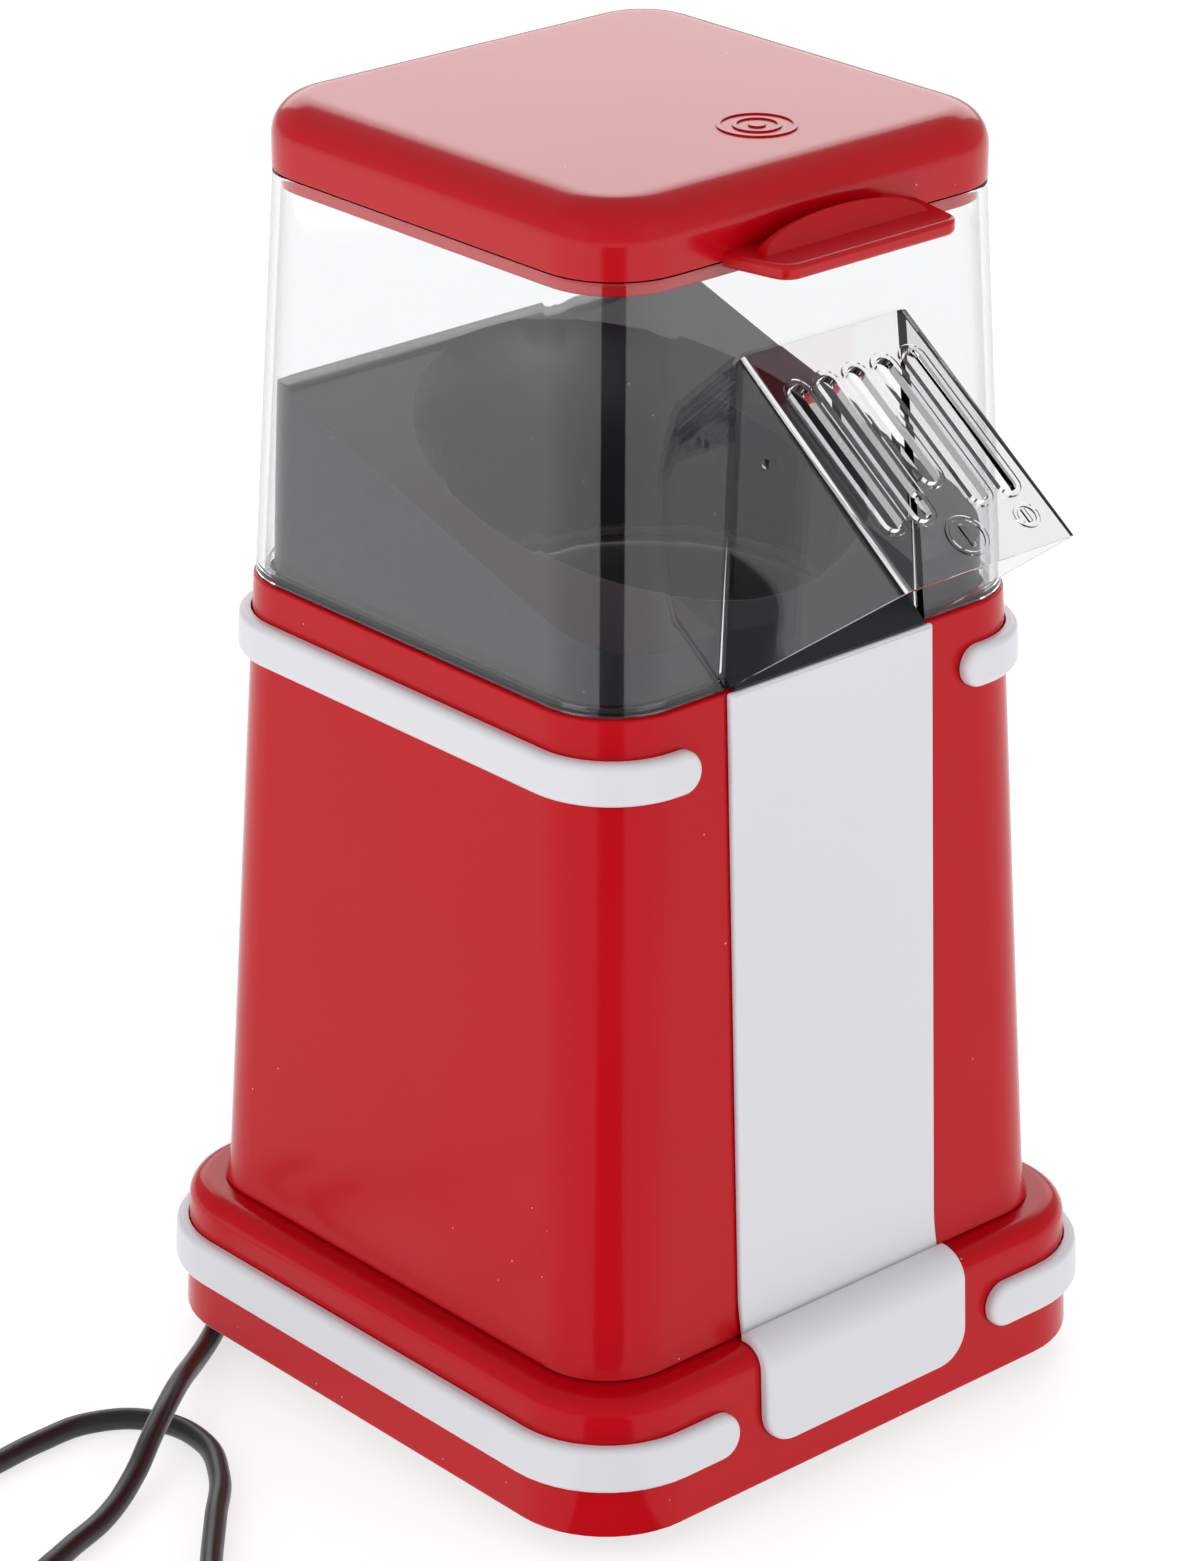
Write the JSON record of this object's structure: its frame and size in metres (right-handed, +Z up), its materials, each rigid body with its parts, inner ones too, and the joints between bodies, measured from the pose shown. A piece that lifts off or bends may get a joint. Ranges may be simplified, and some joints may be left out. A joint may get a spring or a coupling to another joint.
{
  "type": "hot-air popcorn maker",
  "caption": "Small countertop hot-air popcorn maker: tapered red tower on a square plinth, white bumper bands, clear hood with a slotted pouring visor and a lift-off red lid.",
  "frame": {"origin": "middle of the object's box at table level, measured without the cord; the tower's axis is 15 mm behind it, because the visor overhangs the front", "axes": "+Z up, front with the pouring visor towards -Y, +X to the right of someone facing the back, which is the viewer's right when looking at the front"},
  "size_m": [0.3127, 0.2599, 0.309],
  "materials": {
    "red_shell": "glossy moulded ABS",
    "red_lid": "glossy moulded ABS",
    "white_trim": "semi-gloss moulded ABS",
    "clear_hood": "clear moulded polycarbonate",
    "charcoal_chute": "satin moulded plastic",
    "chamber": "spun sheet, dulled by heat",
    "seal": "moulded silicone",
    "duct_steel": "rolled sheet",
    "heater_wire": "coiled resistance wire, oxidised",
    "mica": "pressed mica sheet",
    "inner_plastic": "glass-filled moulding",
    "motor_steel": "plated steel",
    "board": "circuit board",
    "terminal": "moulded nylon",
    "thermostat": "pressed cap",
    "black_plastic": "fine texture moulding",
    "rocker": "glossy moulding",
    "black_rubber": "moulded PVC",
    "cord": "PVC sheath",
    "brass_pin": "plated pin",
    "feet": "moulded rubber",
    "screw_steel": "zinc plated"
  },
  "bodies": {
    "base": {"bottom_cover": "black_plastic", "chamber_gasket": "seal", "chute_screw_1": "screw_steel", "chute_screw_2": "screw_steel", "chute_screw_3": "screw_steel", "chute_screw_4": "screw_steel", "cord_coil": "cord", "cord_lead": "cord", "cover_screw_1": "screw_steel", "cover_screw_2": "screw_steel", "cover_screw_3": "screw_steel", "cover_screw_4": "screw_steel", "deck_screw_1": "screw_steel", "deck_screw_2": "screw_steel", "deck_screw_3": "screw_steel", "deck_screw_4": "screw_steel", "fan_housing": "inner_plastic", "foot_1": "feet", "foot_2": "feet", "foot_3": "feet", "foot_4": "feet", "front_panel": "white_trim", "front_tab": "white_trim", "heater_coil": "heater_wire", "heater_duct": "duct_steel", "lower_band_left": "white_trim", "lower_band_right": "white_trim", "mica_frame": "mica", "motor": "motor_steel", "motor_screw_1": "screw_steel", "motor_screw_2": "screw_steel", "plinth_shell": "red_shell", "plug_body": "black_rubber", "plug_pin_1": "brass_pin", "plug_pin_2": "brass_pin", "popcorn_chute": "charcoal_chute", "popping_chamber": "chamber", "rectifier_board": "board", "strain_relief": "black_rubber", "switch_body": "black_plastic", "terminal_block": "terminal", "thermal_fuse": "motor_steel", "thermostat": "thermostat", "tower_housing": "red_shell", "upper_band_left": "white_trim", "upper_band_right": "white_trim"},
    "rotor": {"fan": "inner_plastic", "motor_shaft": "motor_steel"},
    "rocker": {"switch_rocker": "rocker"},
    "hood": {"clear_hood": "clear_hood"},
    "lid_body": {"lid": "red_lid"}
  },
  "joints": [
    {"name": "rotor_spin", "type": "hinge", "parent": "base", "child": "rotor", "pos_m": [0, 0.00997, 0.05], "axis": [0, 0, 1], "continuous": true},
    {"name": "rocker_tilt", "type": "hinge", "parent": "base", "child": "rocker", "pos_m": [-0.022, 0.09498, 0.022], "axis": [1, 0, 0], "range_deg": [0, 16]},
    {"name": "hood_lift", "type": "slide", "parent": "base", "child": "hood", "axis": [0, 0, 1], "range_m": [0, 0.13]},
    {"name": "lid_lift", "type": "slide", "parent": "hood", "child": "lid_body", "axis": [0, 0, 1], "range_m": [0, 0.06]}
  ]
}
